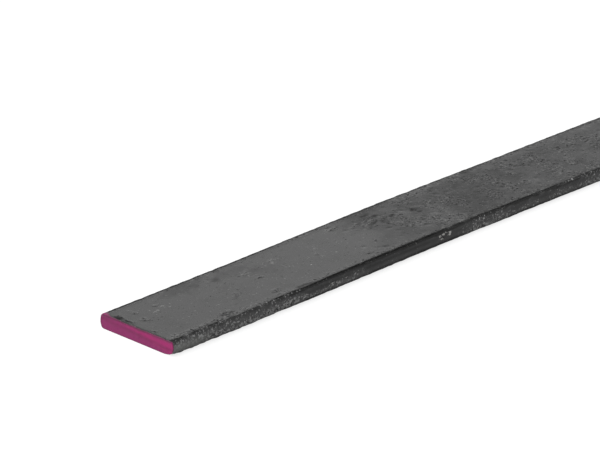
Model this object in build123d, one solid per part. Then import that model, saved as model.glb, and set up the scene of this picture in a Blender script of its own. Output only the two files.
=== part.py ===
from build123d import *
from math import radians, tan
import os

# A length of hot-rolled mild-steel flat bar: one solid piece of stock with rounded, crowned
# rolled edges, cropped to length by a shear at both ends.
# Millimetres. +X runs along the bar, +Y across its width and +Z up through its thickness.
# The origin is at the middle of the underside, on which the bar lies.

# Stock size
LENGTH = 1000.0
WIDTH = 25.0
THICKNESS = 4.0

# Rolled section
CORNER_RADIUS = 1.2      # between a broad face and a narrow edge
EDGE_CROWN = 0.5         # how far a narrow edge bulges at the middle of the thickness

# Cropped ends
ROLLOVER_RADIUS = 0.3    # edge that is drawn round as the blade sinks in
SHEAR_LAND = 1.4         # from the face the blade enters to where the metal breaks
BREAK_ANGLE = 1.5        # lean of the broken band past that, in degrees from square


def rolled_section():
    """Cross-section on YZ: two flat faces joined by crowned edges, with its corners rounded."""
    half = WIDTH / 2
    shoulder = half - EDGE_CROWN
    middle = THICKNESS / 2
    with BuildSketch(Plane.YZ) as section:
        with BuildLine():
            Line((-shoulder, 0), (shoulder, 0))
            ThreePointArc((shoulder, 0), (half, middle), (shoulder, THICKNESS))
            Line((shoulder, THICKNESS), (-shoulder, THICKNESS))
            ThreePointArc((-shoulder, THICKNESS), (-half, middle), (-shoulder, 0))
        make_face()
        fillet(section.vertices(), CORNER_RADIUS)
    return section.sketch


def cropped_profile():
    """Side view on XZ of the bar between its two shear cuts.

    Each cut has a rolled-over edge, a square land and a broken band that leans inwards to a
    sharp edge. The blade enters from the top at the -X end and from the bottom at the +X end,
    so the outline is the same after half a turn about its middle.
    """
    end = LENGTH / 2
    lean = (THICKNESS - SHEAR_LAND) * tan(radians(BREAK_ANGLE))
    near_rollover = (-end + ROLLOVER_RADIUS, THICKNESS)
    near_land = (-end, THICKNESS - ROLLOVER_RADIUS)
    far_rollover = (end - ROLLOVER_RADIUS, 0)
    far_land = (end, ROLLOVER_RADIUS)
    with BuildSketch(Plane.XZ) as profile:
        with BuildLine():
            RadiusArc(near_land, near_rollover, ROLLOVER_RADIUS)
            Polyline(near_rollover, (end - lean, THICKNESS), (end, SHEAR_LAND), far_land)
            RadiusArc(far_land, far_rollover, ROLLOVER_RADIUS)
            Polyline(far_rollover, (-end + lean, 0), (-end, THICKNESS - SHEAR_LAND), near_land)
        make_face()
    return profile.sketch


rolled_bar = extrude(rolled_section(), amount=LENGTH / 2, both=True)
between_cuts = extrude(cropped_profile(), amount=WIDTH, both=True)
flat_bar = rolled_bar & between_cuts
flat_bar.label = "flat_bar"

os.makedirs("parts", exist_ok=True)
export_step(flat_bar, "parts/flat_bar.step")
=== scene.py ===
import math

import bpy
import numpy as np
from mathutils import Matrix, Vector


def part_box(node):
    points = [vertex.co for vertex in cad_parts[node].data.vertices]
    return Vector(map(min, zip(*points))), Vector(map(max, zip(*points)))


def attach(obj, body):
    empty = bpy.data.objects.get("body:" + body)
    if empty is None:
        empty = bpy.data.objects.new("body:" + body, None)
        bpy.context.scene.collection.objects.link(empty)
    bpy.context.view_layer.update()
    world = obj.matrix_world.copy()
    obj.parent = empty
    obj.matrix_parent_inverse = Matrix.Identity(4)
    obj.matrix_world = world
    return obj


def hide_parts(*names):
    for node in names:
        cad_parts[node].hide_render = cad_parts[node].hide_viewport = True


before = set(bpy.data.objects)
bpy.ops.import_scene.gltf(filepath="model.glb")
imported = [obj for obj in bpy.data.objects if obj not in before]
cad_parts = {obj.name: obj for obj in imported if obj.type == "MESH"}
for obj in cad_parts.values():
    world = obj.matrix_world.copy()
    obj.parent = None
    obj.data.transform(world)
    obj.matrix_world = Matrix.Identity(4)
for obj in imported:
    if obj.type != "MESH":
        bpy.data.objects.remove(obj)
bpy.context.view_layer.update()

# ---------------------------------------------------------------------------------------------
# The bar. One length of hot-rolled mild steel flat with crowned, rounded edges, still in its
# mill scale. A shear cropped both ends: a rolled-over edge, a square land and a broken band.
# The skin follows the solid and adds the camber, wavy edges, pits and chips of rolled stock.
# ---------------------------------------------------------------------------------------------
MM = 0.001
BAR_LOW, BAR_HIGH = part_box("flat_bar")
HALF_LENGTH = (BAR_HIGH.x - BAR_LOW.x) / 2 / MM
HALF_WIDTH = (BAR_HIGH.y - BAR_LOW.y) / 2 / MM
THICKNESS = (BAR_HIGH.z - BAR_LOW.z) / MM

# The rolled section and the cropped ends. Lengths are in millimetres from here on.
CORNER_RADIUS = 1.2
KEEN_RADIUS = 0.5            # of the near top corner where it is rolled keenest
EDGE_CROWN = 0.5
ROLLOVER_RADIUS = 0.3
SHEAR_LAND = 1.4
BREAK_SLOPE = math.tan(math.radians(1.5))
BURR_RADIUS = 0.06           # of the rim round each end

# How many faces go across a flat face, round a corner, down a crown and round a rim.
FLAT_STEPS = 52
CORNER_STEPS = 8
CROWN_STEPS = 8
RIM_STEPS = 3


def edge_outline(top_radius, bottom_radius):
    """Outline of the +Y narrow edge from the top face to the bottom one, and its outward normals.

    A shallow crown arc runs between two corner arcs. The crown's radius is that of an arc which
    rises by the crown over half the thickness, and each corner's centre lies where a circle
    touches both its level line and the crown from inside.
    """
    half = THICKNESS / 2
    crown_radius = (half**2 + EDGE_CROWN**2) / (2 * EDGE_CROWN)
    crown_centre = HALF_WIDTH - crown_radius

    def corner(radius):
        rise, reach = half - radius, crown_radius - radius
        return crown_centre + math.sqrt(reach**2 - rise**2), rise, math.asin(rise / reach)

    def arc(y, z, radius, start, stop, steps):
        angles = np.linspace(start, stop, steps + 1)
        normals = np.stack([np.cos(angles), np.sin(angles)], 1)
        return np.array([y, z]) + radius * normals, normals

    top_y, top_rise, top_turn = corner(top_radius)
    bottom_y, bottom_rise, bottom_turn = corner(bottom_radius)
    top = arc(top_y, half + top_rise, top_radius, math.pi / 2, top_turn, CORNER_STEPS)
    crown = arc(crown_centre, half, crown_radius, top_turn, -bottom_turn, CROWN_STEPS)
    bottom = arc(bottom_y, half - bottom_rise, bottom_radius, -bottom_turn, -math.pi / 2, CORNER_STEPS)
    return [np.concatenate([a, b[1:-1], c]) for a, b, c in zip(top, crown, bottom)]


def section_ring(near_top_radius):
    """Outline of the rolled section and its outward normals, clockwise as seen from the near end.

    It starts where the near top corner meets the top face, and runs down the near edge, along
    the bottom, up the far edge and back along the top.
    """
    near, near_normals = edge_outline(near_top_radius, CORNER_RADIUS)
    far, far_normals = edge_outline(CORNER_RADIUS, CORNER_RADIUS)
    bottom_y = np.linspace(-near[-1, 0], far[-1, 0], FLAT_STEPS + 1)[1:-1]
    top_y = np.linspace(far[0, 0], -near[0, 0], FLAT_STEPS + 1)[1:-1]
    bottom = np.stack([bottom_y, np.zeros_like(bottom_y)], 1)
    top = np.stack([top_y, np.full_like(top_y, THICKNESS)], 1)
    up = np.tile([0.0, 1.0], (FLAT_STEPS - 1, 1))
    outline = np.concatenate([near * [-1, 1], bottom, far[::-1], top])
    normals = np.concatenate([near_normals * [-1, 1], -up, far_normals[::-1], up])
    return outline, normals


ring, ring_normals = section_ring(CORNER_RADIUS)
keen_ring, keen_normals = section_ring(KEEN_RADIUS)
SIDE_STEPS = 2 * CORNER_STEPS + CROWN_STEPS
RING_COUNT = len(ring)

FINE_LENGTH = 176.0          # the near stretch, which carries the fine relief
FINE_STEP = 0.39
COARSE_STEP = 8.0
STEP_GROWTH = 0.08
PROBE_COUNT = 20001
ROLLOVER_STEPS = 5


def stations():
    """Places along the bar, close together on the near stretch and wide apart past it.

    The step starts at the fine step, grows by a fixed share of the distance past the near
    stretch up to the coarse step, and shrinks again in the same way towards the far end. Inside
    both rollovers the places follow a quarter circle's even turns.
    """
    start, stop = -HALF_LENGTH + ROLLOVER_RADIUS, HALF_LENGTH - ROLLOVER_RADIUS
    probe = np.linspace(start, stop, PROBE_COUNT)
    past = np.minimum(np.maximum(probe - start - FINE_LENGTH, 0), stop - probe)
    step = np.minimum(FINE_STEP + STEP_GROWTH * past, COARSE_STEP)
    count_so_far = np.concatenate([[0], np.cumsum(np.diff(probe) / step[1:])])
    total = int(round(count_so_far[-1]))
    middle = np.interp(np.linspace(0, count_so_far[-1], total + 1), count_so_far, probe)
    turns = np.linspace(0, math.pi / 2, ROLLOVER_STEPS + 1)[:-1]
    inside = ROLLOVER_RADIUS * (1 - np.cos(turns))
    clear_of_rim = BURR_RADIUS * (1 + np.arange(ROLLOVER_STEPS) / ROLLOVER_STEPS)
    near = -HALF_LENGTH + np.maximum(inside, clear_of_rim)
    return np.concatenate([near, middle, -near[::-1]])


def waves(points, count, shortest, longest, seed, stretch=(1, 1, 1)):
    """Smooth seeded unevenness at each point, about as often above zero as below it.

    The sum of plane cosine waves with random directions and phases. Their lengths are spread
    evenly by ratio from the shortest to the longest, and the sum is scaled to a deviation of one.
    The stretch draws the pattern out along X, Y and Z.
    """
    rng = np.random.default_rng(seed)
    directions = rng.normal(size=(count, 3))
    directions /= np.linalg.norm(directions, axis=1, keepdims=True)
    lengths = shortest * (longest / shortest) ** rng.random(count)
    phases = rng.random(count) * 2 * math.pi
    numbers = directions * (2 * math.pi / lengths[:, None]) / np.array(stretch)
    total = np.zeros(points.shape[:-1])
    for number, phase in zip(numbers, phases):
        total += np.cos(points @ number + phase)
    return total * math.sqrt(2 / count)


def smooth_step(value, low, high):
    """0 below low, 1 above high, and an S-curve between them."""
    share = np.clip((value - low) / (high - low), 0, 1)
    return share * share * (3 - 2 * share)


def profile(along, table):
    """Straight lines through the table's pairs of place and value, level past both its ends."""
    places, values = zip(*table)
    return np.interp(along, places, values)


PIT_SEED = 41
PIT_TRIES = 900
PIT_SHARE = 0.5              # of the tries that make a pit where pits are most frequent
PIT_START, PIT_FULL = 64, 110
PIT_REACH = 11.0             # to either side of the middle line
PIT_RADIUS, PIT_EXTRA_RADIUS = 0.42, 0.30
PIT_LONGER = (1.0, 1.7)
PIT_TURN = 0.5
PIT_DEPTH = (0.07, 0.2)      # as a share of the radius
PIT_LIP = 0.55
PIT_SPREAD, PIT_MARGIN = 4, 2                # a pit's relief ends this many radii and mm from it
FACING_UP = 0.9
# Place along and across, radius along and across, turn and depth.
LARGE_PITS = (
    (89.0, 4.0, 1.3, 0.7, 0.6, 0.13), (99.4, 1.6, 0.7, 1.3, 0.2, 0.16), (97.4, -3.0, 0.7, 0.8, 0.3, 0.14),
    (74.6, 9.2, 1.0, 0.5, 0.0, 0.12), (82.0, 5.3, 0.9, 0.5, 0.5, 0.12), (109.5, 6.1, 1.3, 0.9, -0.6, 0.08),
    (5.0, 6.5, 0.5, 0.6, 0.0, 0.05), (154.0, 4.2, 1.6, 0.8, 0.2, 0.12), (18.6, -9.9, 0.9, 0.5, 0.3, 0.08),
    (20.6, -9.2, 0.8, 0.5, -0.3, 0.08), (22.4, -10.1, 1.0, 0.45, 0.1, 0.07))


def scattered_pits():
    """Pits of the near stretch's top face: place along and across, two radii, turn and depth.

    The small ones are seeded at random, none on the first third of the stretch and more and more
    after it. The large ones are set where scale was rolled in.
    """
    rng = np.random.default_rng(PIT_SEED)
    along = rng.random(PIT_TRIES) * FINE_LENGTH
    across = rng.uniform(-PIT_REACH, PIT_REACH, PIT_TRIES)
    keep = rng.random(PIT_TRIES) < PIT_SHARE * smooth_step(along, PIT_START, PIT_FULL)
    along, across = along[keep], across[keep]
    count = len(along)
    radius = PIT_RADIUS + PIT_EXTRA_RADIUS * rng.random(count) ** 2
    longer = rng.uniform(*PIT_LONGER, count)
    turn = rng.uniform(-PIT_TURN, PIT_TURN, count)
    depth = radius * rng.uniform(*PIT_DEPTH, count)
    pits = np.stack([along, across, radius * longer, radius, turn, depth], 1)
    return np.concatenate([pits, np.array(LARGE_PITS)])


def pit_relief(points, normals):
    """Depth of the pits at points of the top face: a bell-shaped hollow in a low raised lip."""
    relief = np.zeros(points.shape[:-1])
    near_stretch = points[..., 0] < -HALF_LENGTH + FINE_LENGTH + 2 * PIT_MARGIN
    top = (normals[..., 2] > FACING_UP) & near_stretch
    place = points[top]
    found = np.zeros(len(place))
    for along, across, length, width, turn, depth in scattered_pits():
        dx = place[:, 0] + HALF_LENGTH - along
        dy = place[:, 1] - across
        reach = PIT_SPREAD * length + PIT_MARGIN
        close = (np.abs(dx) < reach) & (np.abs(dy) < reach)
        u = (dx[close] * math.cos(turn) + dy[close] * math.sin(turn)) / length
        v = (dy[close] * math.cos(turn) - dx[close] * math.sin(turn)) / width
        q = u * u + v * v
        found[close] -= depth * (1 - PIT_LIP * q) * np.exp(-q)
    relief[top] = found
    return relief


CAMBER_LENGTH = 175
CAMBER_ONE_BEND = 0.64
CAMBER_TWO_BENDS = -0.20
CAMBER_SHIFT = -0.22
CAMBER_FADE_START, CAMBER_FADE = 160, 60


def bow(along):
    """Sideways camber at a distance from the near end.

    A sine wave with one bend and one with two over the camber's length. Both fade away past it,
    by a bell curve.
    """
    one_bend = CAMBER_ONE_BEND * np.sin(np.pi * along / CAMBER_LENGTH)
    two_bends = CAMBER_TWO_BENDS * np.sin(2 * np.pi * along / CAMBER_LENGTH)
    fade = np.exp(-((np.maximum(along - CAMBER_FADE_START, 0) / CAMBER_FADE) ** 2))
    return (one_bend + two_bends) * fade + CAMBER_SHIFT


# How far each narrow edge strays from the camber, as pairs of place along the bar and shift, how
# high its waves are past the near stretch, and how keenly the near top corner is rolled.
NEAR_STRAY = ((0, 0.17), (10, 0.0), (28, -0.13), (36, 0.1), (45, -0.13), (62, 0), (85, 0.15), (105, 0.17),
              (112, 0.0), (128, -0.05), (145, 0))
FAR_STRAY = ((0, -0.13), (40, -0.1), (62, 0.04), (95, 0.14), (108, 0.0), (134, -0.2), (160, 0.0), (172, 0.2),
             (200, 0))
STRAY_WAVES, STRAY_WAVES_START = 0.10, (150, 220)
KEENNESS = ((0, 1.0), (30, 1.0), (48, 0.6), (62, 0.0), (98, 0.1), (112, 0.4), (135, 0.8), (150, 0.5))
KEENNESS_WAVES, KEENNESS_WAVES_START = 0.3, (150, 200)


def on_line(along):
    """Points on a straight line along X at the given places."""
    return np.stack([along, np.zeros_like(along), np.zeros_like(along)], -1)


def wander(along, across):
    """How far the bar's surface strays sideways from the camber.

    Each edge strays by its table on the near stretch and by its own seeded long waves past it.
    Between the edges the shift is blended in proportion.
    """
    waving = smooth_step(along, *STRAY_WAVES_START) * STRAY_WAVES
    near = waving * waves(on_line(along), 5, 40, 160, seed=8) + profile(along, NEAR_STRAY)
    far = waving * waves(on_line(along), 5, 40, 160, seed=9) + profile(along, FAR_STRAY)
    share = across / (2 * HALF_WIDTH) + 0.5
    return near * (1 - share) + far * share


def keenness(along):
    """How far the near top corner is rolled keener than the section's radius, from 0 to 1."""
    waving = smooth_step(along, *KEENNESS_WAVES_START) * KEENNESS_WAVES
    return np.clip(profile(along, KEENNESS) + waving * waves(on_line(along), 5, 30, 120, seed=10), 0, 1)


# Heights of the skin's unevenness, and how much of the nicks each place of the near edge has.
SWELL = 0.012
RIPPLE = 0.004
CORNER_RIPPLE = 0.03
CORNER_NICKS = 0.05
EDGE_RIPPLE = 0.02
NICKED = ((0, 0.4), (3, 1), (24, 1), (30, 0))

CUT_SKEW = 0.2
SKEW_LENGTH = 12
CRUSHED_LENGTH, CRUSHED_WIDTH, CRUSHED_HEIGHT = 1.5, 2.9, 0.62


def shaped(points, normals):
    """Moves points of the plain rolled section to the real bar's surface.

    The face that each blade enters is drawn down round the rollover's quarter circle. Every
    point then moves along its normal by the unevenness there, and sideways by the camber and
    the wander of the edges. The ends are cut back to the land and the leaning broken band. Last,
    the near cut is turned out of square by its skew, and its lower near corner is crushed upwards
    by a height that falls off evenly along the bar and across it.
    """
    x, y, z = points[..., 0], points[..., 1], points[..., 2]
    near_gap = np.clip(ROLLOVER_RADIUS - (x + HALF_LENGTH), 0, ROLLOVER_RADIUS)
    far_gap = np.clip(ROLLOVER_RADIUS - (HALF_LENGTH - x), 0, ROLLOVER_RADIUS)
    near_drop = ROLLOVER_RADIUS - np.sqrt(ROLLOVER_RADIUS**2 - near_gap**2)
    far_drop = ROLLOVER_RADIUS - np.sqrt(ROLLOVER_RADIUS**2 - far_gap**2)
    z = np.clip(z, far_drop, THICKNESS - near_drop)

    # Each of these two is 1 in the middle of a corner or an edge and nil on the flat faces.
    corner = 4 * normals[..., 1] ** 2 * normals[..., 2] ** 2
    side = normals[..., 1] ** 2
    along = x + HALF_LENGTH
    nicked = (points[..., 1] < 0) * profile(along, NICKED)
    relief = SWELL * waves(points, 14, 12, 60, seed=3, stretch=(1.6, 1, 1))
    relief += RIPPLE * waves(points, 20, 2.5, 7, seed=4, stretch=(1.5, 1, 1))
    relief += corner * (CORNER_RIPPLE + CORNER_NICKS * nicked) * waves(points, 16, 1.2, 6, seed=5)
    relief += side * EDGE_RIPPLE * waves(points, 16, 1.2, 4, seed=6)
    relief += pit_relief(points, normals)
    out = np.stack([x, y, z], -1) + normals * relief[..., None]
    out[..., 1] += bow(along) + wander(along, y)
    lean_near = np.maximum(THICKNESS - SHEAR_LAND - z, 0) * BREAK_SLOPE
    lean_far = np.maximum(z - SHEAR_LAND, 0) * BREAK_SLOPE
    out[..., 0] = np.clip(out[..., 0], -HALF_LENGTH + lean_near, HALF_LENGTH - lean_far)

    out[..., 0] -= CUT_SKEW * (y / (2 * HALF_WIDTH) + 0.5) * (1 - smooth_step(along, 0, SKEW_LENGTH))
    crushed = np.clip(1 - along / CRUSHED_LENGTH, 0, 1)
    crushed = crushed * np.clip(1 - (y + HALF_WIDTH) / CRUSHED_WIDTH, 0, 1)
    out[..., 2] += CRUSHED_HEIGHT * crushed * (1 - z / THICKNESS)
    return out


def end_patch(loop_points):
    """Fills one end's closed loop with a grid of points, top row first and far column first.

    Each inner point is the blend of its row's two ends, plus that of its column's two ends,
    less the blend of the four corners.
    """
    near = loop_points[: SIDE_STEPS + 1]
    bottom = loop_points[SIDE_STEPS : SIDE_STEPS + FLAT_STEPS + 1][::-1]
    far = loop_points[SIDE_STEPS + FLAT_STEPS : 2 * SIDE_STEPS + FLAT_STEPS + 1][::-1]
    top = np.concatenate([loop_points[2 * SIDE_STEPS + FLAT_STEPS :], loop_points[:1]])
    u = np.linspace(0, 1, FLAT_STEPS + 1)[None, :, None]
    v = np.linspace(0, 1, SIDE_STEPS + 1)[:, None, None]
    across = (1 - v) * top[None] + v * bottom[None]
    down = (1 - u) * far[:, None] + u * near[:, None]
    corners = (1 - v) * ((1 - u) * top[0] + u * top[-1]) + v * ((1 - u) * bottom[0] + u * bottom[-1])
    return across + down - corners


CUT_SINK = 0.03
SCORING = 0.012
BREAKAGE = 0.014
CUT_MARGINS = (0.03, 0.12)   # shares of the width and of the height over which the relief starts


def cut_relief(patch):
    """Unevenness of a cropped end, inwards, nil at its rim: the blade's scoring and the break's."""
    u = np.linspace(0, 1, patch.shape[1])[None]
    v = np.linspace(0, 1, patch.shape[0])[:, None]
    inside = smooth_step(u, 0, CUT_MARGINS[0]) * smooth_step(1 - u, 0, CUT_MARGINS[0])
    inside = inside * smooth_step(v, 0, CUT_MARGINS[1]) * smooth_step(1 - v, 0, CUT_MARGINS[1])
    scoring = waves(patch, 16, 0.9, 4, seed=11, stretch=(1, 1, 3))
    broken = waves(patch, 16, 0.8, 3, seed=12)
    return inside * (CUT_SINK + SCORING * scoring + BREAKAGE * broken)


def carried(x, tilt, shrink):
    """Points and normals of the section's outline carried to x, with its end rims turned in.

    Each argument has a row for each place and one column, or a column for each outline point.
    """
    shape = (len(x), RING_COUNT, 1)
    x, tilt, shrink = (np.broadcast_to(values[..., None], shape) for values in (x, tilt, shrink))
    keen = keenness(x + HALF_LENGTH)
    outline = ring + keen * (keen_ring - ring)
    sideways = ring_normals + keen * (keen_normals - ring_normals)
    sideways = sideways / np.linalg.norm(sideways, axis=-1, keepdims=True)
    points = np.concatenate([x, outline - shrink * sideways], -1)
    normals = np.concatenate([tilt, np.sqrt(1 - tilt**2) * sideways], -1)
    return points, normals


def cells(grid, outward):
    """The four corners of each cell of an end's grid, in the order that faces outward along X."""
    a, b, c, d = grid[:-1, :-1], grid[:-1, 1:], grid[1:, 1:], grid[1:, :-1]
    return np.stack([a, d, c, b] if outward < 0 else [a, b, c, d], 2)


def patch_faces(loop, next_index, outward):
    """Quads of an end's grid, whose border is the loop of point numbers and whose inside is new."""
    rows, columns = SIDE_STEPS + 1, FLAT_STEPS + 1
    index = np.empty((rows, columns), int)
    index[1:-1, 1:-1] = next_index + np.arange((rows - 2) * (columns - 2)).reshape(rows - 2, -1)
    index[:, -1] = loop[:rows]
    index[-1] = loop[SIDE_STEPS : SIDE_STEPS + columns][::-1]
    index[:, 0] = loop[SIDE_STEPS + FLAT_STEPS : 2 * SIDE_STEPS + FLAT_STEPS + 1][::-1]
    index[0] = np.append(loop[2 * SIDE_STEPS + FLAT_STEPS :], loop[0])
    return cells(index, outward).reshape(-1, 4)


# Places of the faces on the bar's texture map, in its pixels: the near stretch on one wide row,
# the rest of the length on four rows under it, and both ends below. Scales are pixels per
# millimetre, along the bar and across it for the four rows.
MAP_SIZE = 1024.0
MAP_GAP = 4.0
NEAR_SCALE = 5.6
REST_SCALE = (4.7, 2.85)
REST_ROWS = 4
END_SCALE = 10.0
END_STARTS = (MAP_GAP, 300.0)
END_MARGINS = (1, 0.2)


def unrolled(along):
    """Texture coordinates of the walls' quads in pixels, and how far up the map they reach.

    A quad lies in its row as far along as on the bar, and as far up as it is round the section
    from a seam in the middle of the underside.
    """
    steps = np.linalg.norm(np.roll(ring, -1, axis=0) - ring, axis=1)
    seam = SIDE_STEPS + FLAT_STEPS // 2
    from_seam = np.roll(steps, -seam)
    before = (np.cumsum(from_seam) - from_seam)[(np.arange(RING_COUNT) - seam) % RING_COUNT]
    girth = steps.sum()
    near_rows = int(np.searchsorted(along, FINE_LENGTH))
    rest = (along[-1] - along[near_rows]) / REST_ROWS
    rest_row = 1 + np.minimum((along[:-1] - along[near_rows]) // rest, REST_ROWS - 1)
    row = np.where(np.arange(len(along) - 1) < near_rows, 0, rest_row).astype(int)
    origin = np.where(row == 0, 0.0, along[near_rows] + (row - 1) * rest)
    along_scale = np.where(row == 0, NEAR_SCALE, REST_SCALE[0])
    across_scale = np.where(row == 0, NEAR_SCALE, REST_SCALE[1])
    rest_foot = girth * NEAR_SCALE + MAP_GAP + (row - 1) * (girth * REST_SCALE[1] + MAP_GAP)
    foot = MAP_GAP + np.where(row == 0, 0, rest_foot)
    left = MAP_GAP + (along[:-1] - origin) * along_scale
    right = MAP_GAP + (along[1:] - origin) * along_scale
    low = foot[:, None] + before[None] * across_scale[:, None]
    high = low + steps[None] * across_scale[:, None]
    left, right = np.broadcast_to(left[:, None], low.shape), np.broadcast_to(right[:, None], low.shape)
    corners = ((left, low), (left, high), (right, high), (right, low))
    wall_map = np.stack([np.stack(corner, 2) for corner in corners], 2)
    return wall_map.reshape(-1, 2), foot[-1] + girth * REST_SCALE[1] + MAP_GAP


def bar_skin():
    """Points, quads and texture coordinates of the quads' corners.

    The ring of the section is carried along the stations, its rims turned in by a quarter circle
    at both ends, and each end is closed by a grid.
    """
    turns = np.linspace(0, math.pi / 2, RIM_STEPS + 1)[1:]
    rim_x = BURR_RADIUS * (1 - np.sin(turns))
    rim_inset = BURR_RADIUS * (1 - np.cos(turns))
    middle = stations()
    x = np.concatenate([-HALF_LENGTH + rim_x[::-1], middle, HALF_LENGTH - rim_x])
    shrink = np.concatenate([rim_inset[::-1], np.zeros(len(middle)), rim_inset])
    tilt = np.concatenate([-np.sin(turns[::-1]), np.zeros(len(middle)), np.sin(turns)])
    points = shaped(*carried(x[:, None], tilt[:, None], shrink[:, None]))
    index = np.arange(len(x) * RING_COUNT).reshape(len(x), RING_COUNT)
    after = np.roll(index, -1, axis=1)
    walls = np.stack([index[:-1], after[:-1], after[1:], index[1:]], 2)
    wall_map, top_of_map = unrolled(x + HALF_LENGTH)

    all_points, all_faces, all_maps = [points.reshape(-1, 3)], [walls.reshape(-1, 4)], [wall_map]
    next_index = index.size
    for outward, line, start in zip((-1, 1), (0, len(x) - 1), END_STARTS):
        patch = end_patch(points[line])
        patch[..., 0] -= outward * cut_relief(patch)
        inner = patch[1:-1, 1:-1].reshape(-1, 3)
        all_points.append(inner)
        all_faces.append(patch_faces(index[line], next_index, outward))
        next_index += len(inner)
        end_map = np.stack([start + (patch[..., 1] + HALF_WIDTH + END_MARGINS[0]) * END_SCALE,
                            top_of_map + (patch[..., 2] + END_MARGINS[1]) * END_SCALE], 2)
        all_maps.append(cells(end_map, outward).reshape(-1, 2))
    return np.concatenate(all_points), np.concatenate(all_faces), np.concatenate(all_maps) / MAP_SIZE


def stored(piece, name, values):
    """Stores one number per point on the mesh, for its material to read."""
    layer = piece.data.attributes.new(name, "FLOAT", "POINT")
    layer.data.foreach_set("value", values.astype(np.float32))


def mesh_object(name, points_mm, faces, corner_map):
    """A smooth mesh object at the origin from points in millimetres, quads and their map."""
    mesh = bpy.data.meshes.new(name)
    mesh.vertices.add(len(points_mm))
    mesh.vertices.foreach_set("co", (points_mm * MM).astype(np.float32).ravel())
    mesh.loops.add(faces.size)
    mesh.loops.foreach_set("vertex_index", faces.astype(np.int32).ravel())
    mesh.polygons.add(len(faces))
    mesh.polygons.foreach_set("loop_start", np.arange(0, faces.size, 4, dtype=np.int32))
    mesh.polygons.foreach_set("use_smooth", np.ones(len(faces), bool))
    mesh.uv_layers.new(name="OFBake").data.foreach_set("uv", corner_map.astype(np.float32).ravel())
    mesh.update(calc_edges=True)
    piece = bpy.data.objects.new(name, mesh)
    bpy.context.scene.collection.objects.link(piece)
    return piece


bar_points, bar_faces, bar_map = bar_skin()
bar = mesh_object("bar_skin", bar_points, bar_faces, bar_map)
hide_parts("flat_bar")
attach(bar, "root")

# What the scale is like at each point, stored as shares that the material reads. Tables pair a
# place along the bar from the near end with a value. Patches and spots are given by place along
# and across, half length and half width, and turn.
MID_HEIGHT = 2
TOP_HEIGHT = 3               # all of the top face and its corners lie above it
EDGE_START, EDGE_FULL = 0.95, 0.35
place = bar_points + [HALF_LENGTH, 0, 0]
along, height = place[:, 0], place[:, 2]
across = place[:, 1] - bow(along)
near_edge = across < 0
upper_half = height > MID_HEIGHT
lengthwise, level = place * [1, 0, 0], place * [1, 1, 0]
on_edge = smooth_step(np.abs(across), HALF_WIDTH - EDGE_START, HALF_WIDTH - EDGE_FULL)


def band(value, rise, fall):
    """1 between two places, with S-curves up to it over the rise and down from it over the fall."""
    return smooth_step(value, *rise) * (1 - smooth_step(value, *fall))


# Grit: the lighter, grainy scale of the narrow edges. There is plenty near the painted end and
# hardly any from 70 to 100 mm. It lies mostly below a wavering line halfway up and leaves a bare
# strip at the foot. It also sits on the ridge over the edge, where its paler colour is partly a
# painted highlight. From 140 to 165 mm the tables give way to seeded waves.
GRIT_AMOUNT = ((0, 1.0), (10, 1.4), (18, 1.2), (30, 1.0), (38, 1.4), (46, 0.5), (54, 0.75), (60, 0.7),
               (68, 0.2), (86, 0.0), (99, 0.0), (105, 1.3), (110, 1.2), (114, 0.7), (128, 0.4), (144, 0.4),
               (150, 1.2))
GRIT_ABOVE_LINE = ((0, 0.6), (10, 0.45), (22, 0.35), (44, 0.05), (90, 0.1), (96, 0.3), (104, 0.3), (128, 0.0),
                   (143, 0.05), (150, 0.4))
LINE_DROP = ((28, 0), (37, -0.5), (41, -0.6), (46, 0.7), (51, 0.1), (57, -0.9), (62, 0.4), (70, 0), (112, 0),
             (117, -0.7), (124, 0), (134, -0.8), (142, 0.4), (150, -1.1))
BARE_FOOT = ((0, 0), (14, 0.3), (22, 0), (36, -0.1), (48, 0.4), (60, 0.2), (84, -0.2), (98, 0.3), (109, -0.2),
             (122, 0.3), (150, 0))
RIDGE_HIGHLIGHT = ((0, 0.3), (12, 0.3), (20, 0.55), (30, 0.6), (40, 0.45), (45, 0.1), (132, 0.1), (142, 0.8),
              (150, 0.5))
MOST_GRIT = 1.4
TABLES_END = (140, 165)
GRIT_BEYOND, GRIT_WAVES = 0.5, 0.25
RIDGE_BEYOND = 0.35
LINE_WAVES = 0.6
LINE_HEIGHTS = (1.3, 2.7)
FOOT_HEIGHTS = (0.35, 1.0)
RIDGE_HEIGHTS = (3.55, 3.75)
onwards = smooth_step(along, *TABLES_END)
beyond = GRIT_BEYOND + GRIT_WAVES * waves(lengthwise, 6, 25, 90, seed=21)
amount = profile(along, GRIT_AMOUNT) * (1 - onwards) + beyond * onwards
from_foot = height + LINE_WAVES * waves(lengthwise, 10, 4, 20, seed=26)
from_foot += profile(along, LINE_DROP) * (1 - onwards)
below_line = 1 - smooth_step(from_foot, *LINE_HEIGHTS)
above_line = profile(along, GRIT_ABOVE_LINE)
foot = smooth_step(height - profile(along, BARE_FOOT), *FOOT_HEIGHTS)
grit = np.clip(amount, 0, MOST_GRIT) * foot * (above_line + (1 - above_line) * below_line)
# Painted highlight: paler grit on the top corners of the narrow edges.
ridge_highlight = profile(along, RIDGE_HIGHLIGHT) * (1 - onwards) + RIDGE_BEYOND * onwards
ridge_highlight = ridge_highlight * smooth_step(height, *RIDGE_HEIGHTS)
stored(bar, "grit", np.maximum(grit, ridge_highlight) * on_edge)

# Dusky: how pale and matt the scale of an edge is, more and more so down the edge in two steps,
# and slightly more halfway up between 40 and 92 mm.
DUSKY_STEPS = ((2.6, 3.4), (0.7, 1.6))
DUSKY_STRETCH = ((40, 0), (52, 1), (84, 1), (92, 0))
HALFWAY_UP = ((1.8, 2.6), (3.1, 3.6))
HALFWAY_SHARE = 0.2
dusky = sum(0.5 * (1 - smooth_step(height, *heights)) for heights in DUSKY_STEPS)
dusky += HALFWAY_SHARE * profile(along, DUSKY_STRETCH) * band(height, *HALFWAY_UP)
stored(bar, "dusky", dusky * on_edge)

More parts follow.
